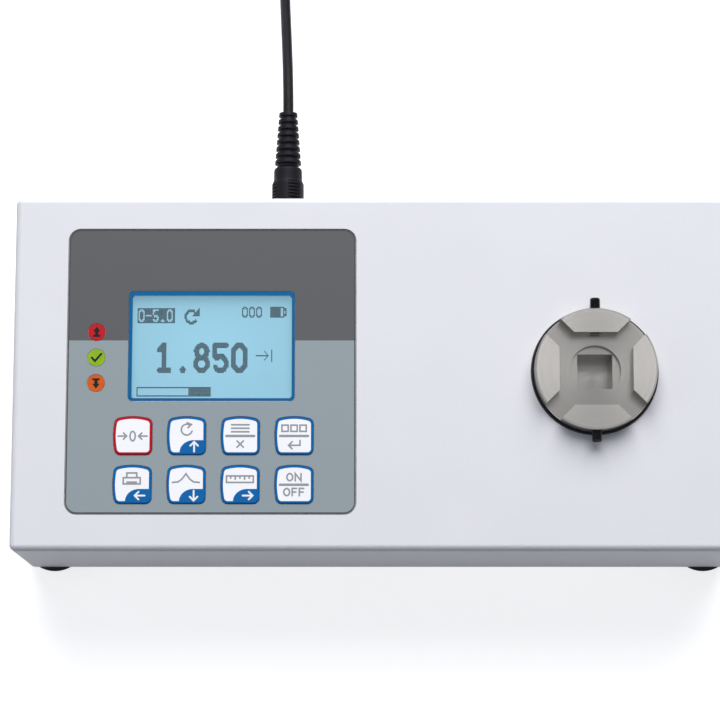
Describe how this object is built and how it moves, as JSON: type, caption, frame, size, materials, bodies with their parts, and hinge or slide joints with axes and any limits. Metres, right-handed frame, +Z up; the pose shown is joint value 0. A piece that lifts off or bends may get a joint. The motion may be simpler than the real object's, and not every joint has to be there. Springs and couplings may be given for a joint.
{
  "type": "torque tester",
  "caption": "Flat bench torque tester: sheet-steel case on rubber feet, membrane keypad with display, square-drive head with clamp screws, low-voltage lead and adapter.",
  "frame": {"origin": "on the table, under the middle of the case and of the posts that stand behind it", "axes": "+X along the long side to the user's right, +Y to the rear, +Z up"},
  "size_m": [0.2744, 0.325, 0.076],
  "materials": {
    "powder_coat": "fine-textured powder coat on sheet steel",
    "zinc_steel": "zinc-plated steel",
    "black_steel": "black-oxide steel",
    "rubber": "matt moulded rubber",
    "overlay_film": "printed matt polyester film",
    "inner_film": "plain film",
    "window_film": "clear polyester window",
    "key_film": "embossed printed film",
    "lamp_red": "translucent red film",
    "lamp_green": "translucent green film",
    "lamp_orange": "translucent orange film",
    "circuit_board": "glass-fibre laminate with green resist",
    "lcd": "lit liquid-crystal glass",
    "black_plastic": "moulded black plastic",
    "cell_sleeve": "plain heat-shrunk sleeve",
    "sensor_alloy": "machined alloy",
    "gauge_film": "polyimide film",
    "nickel_steel": "ground nickel-plated steel",
    "tin_steel": "tin-plated steel",
    "ribbon": "grey ribbon cable",
    "lead_jacket": "soft vinyl jacket",
    "red_wire": "vinyl-insulated wire",
    "moulded_plug": "moulded soft vinyl",
    "adapter_plastic": "spark-eroded ABS"
  },
  "bodies": {
    "case": {"housing_cover": "powder_coat", "base_plate": "zinc_steel", "cover_screws": "black_steel", "rubber_feet": "rubber", "foot_screws": "black_steel", "front_overlay": "overlay_film", "membrane_spacer": "inner_film", "membrane_circuit": "inner_film", "snap_domes": "zinc_steel", "display_window": "window_film", "lamp_red": "lamp_red", "lamp_green": "lamp_green", "lamp_orange": "lamp_orange", "display_board": "circuit_board", "lcd_glass": "lcd", "lcd_bezel": "black_steel", "lcd_backlight": "inner_film", "status_leds": "inner_film", "display_nuts": "zinc_steel", "main_board": "circuit_board", "board_standoffs": "zinc_steel", "board_screws": "black_steel", "board_chips": "black_plastic", "battery_holder": "black_plastic", "battery_cells": "cell_sleeve", "battery_screws": "black_steel", "transducer": "sensor_alloy", "strain_gauges": "gauge_film", "flange_bolts": "black_steel", "head_bolts": "black_steel", "drive_head": "nickel_steel", "head_seal": "rubber", "dc_jack": "black_plastic", "dc_jack_nut": "zinc_steel", "data_port_shell": "tin_steel", "data_port_insert": "black_plastic", "data_port_posts": "tin_steel", "display_cable": "ribbon", "keypad_tail": "gauge_film", "sensor_cable": "lead_jacket", "supply_leads": "red_wire", "dc_plug_barrel": "tin_steel", "dc_plug_grip": "moulded_plug", "dc_plug_relief": "moulded_plug", "power_lead": "lead_jacket", "power_lead_coil": "lead_jacket", "coil_tie": "black_plastic", "adapter_body": "adapter_plastic", "adapter_pins": "tin_steel"},
    "zero_key": {"key_zero": "key_film"},
    "reset_key": {"key_reset": "key_film"},
    "menu_key": {"key_menu": "key_film"},
    "memory_key": {"key_memory": "key_film"},
    "print_key": {"key_print": "key_film"},
    "mode_key": {"key_mode": "key_film"},
    "units_key": {"key_units": "key_film"},
    "power_key": {"key_power": "key_film"},
    "front_screw": {"clamp_screw_front": "black_steel"},
    "rear_screw": {"clamp_screw_rear": "black_steel"}
  },
  "joints": [
    {"name": "zero_press", "type": "slide", "parent": "case", "child": "zero_key", "axis": [0, 0, -1], "range_m": [0, 0.0003], "stiffness_N_per_m": 6000},
    {"name": "reset_press", "type": "slide", "parent": "case", "child": "reset_key", "axis": [0, 0, -1], "range_m": [0, 0.0003], "stiffness_N_per_m": 6000},
    {"name": "menu_press", "type": "slide", "parent": "case", "child": "menu_key", "axis": [0, 0, -1], "range_m": [0, 0.0003], "stiffness_N_per_m": 6000},
    {"name": "memory_press", "type": "slide", "parent": "case", "child": "memory_key", "axis": [0, 0, -1], "range_m": [0, 0.0003], "stiffness_N_per_m": 6000},
    {"name": "print_press", "type": "slide", "parent": "case", "child": "print_key", "axis": [0, 0, -1], "range_m": [0, 0.0003], "stiffness_N_per_m": 6000},
    {"name": "mode_press", "type": "slide", "parent": "case", "child": "mode_key", "axis": [0, 0, -1], "range_m": [0, 0.0003], "stiffness_N_per_m": 6000},
    {"name": "units_press", "type": "slide", "parent": "case", "child": "units_key", "axis": [0, 0, -1], "range_m": [0, 0.0003], "stiffness_N_per_m": 6000},
    {"name": "power_press", "type": "slide", "parent": "case", "child": "power_key", "axis": [0, 0, -1], "range_m": [0, 0.0003], "stiffness_N_per_m": 6000},
    {"name": "front_clamp", "type": "slide", "parent": "case", "child": "front_screw", "axis": [0, 1, 0], "range_m": [-0.003, 0.004]},
    {"name": "rear_clamp", "type": "slide", "parent": "case", "child": "rear_screw", "axis": [0, -1, 0], "range_m": [-0.003, 0.004]}
  ]
}
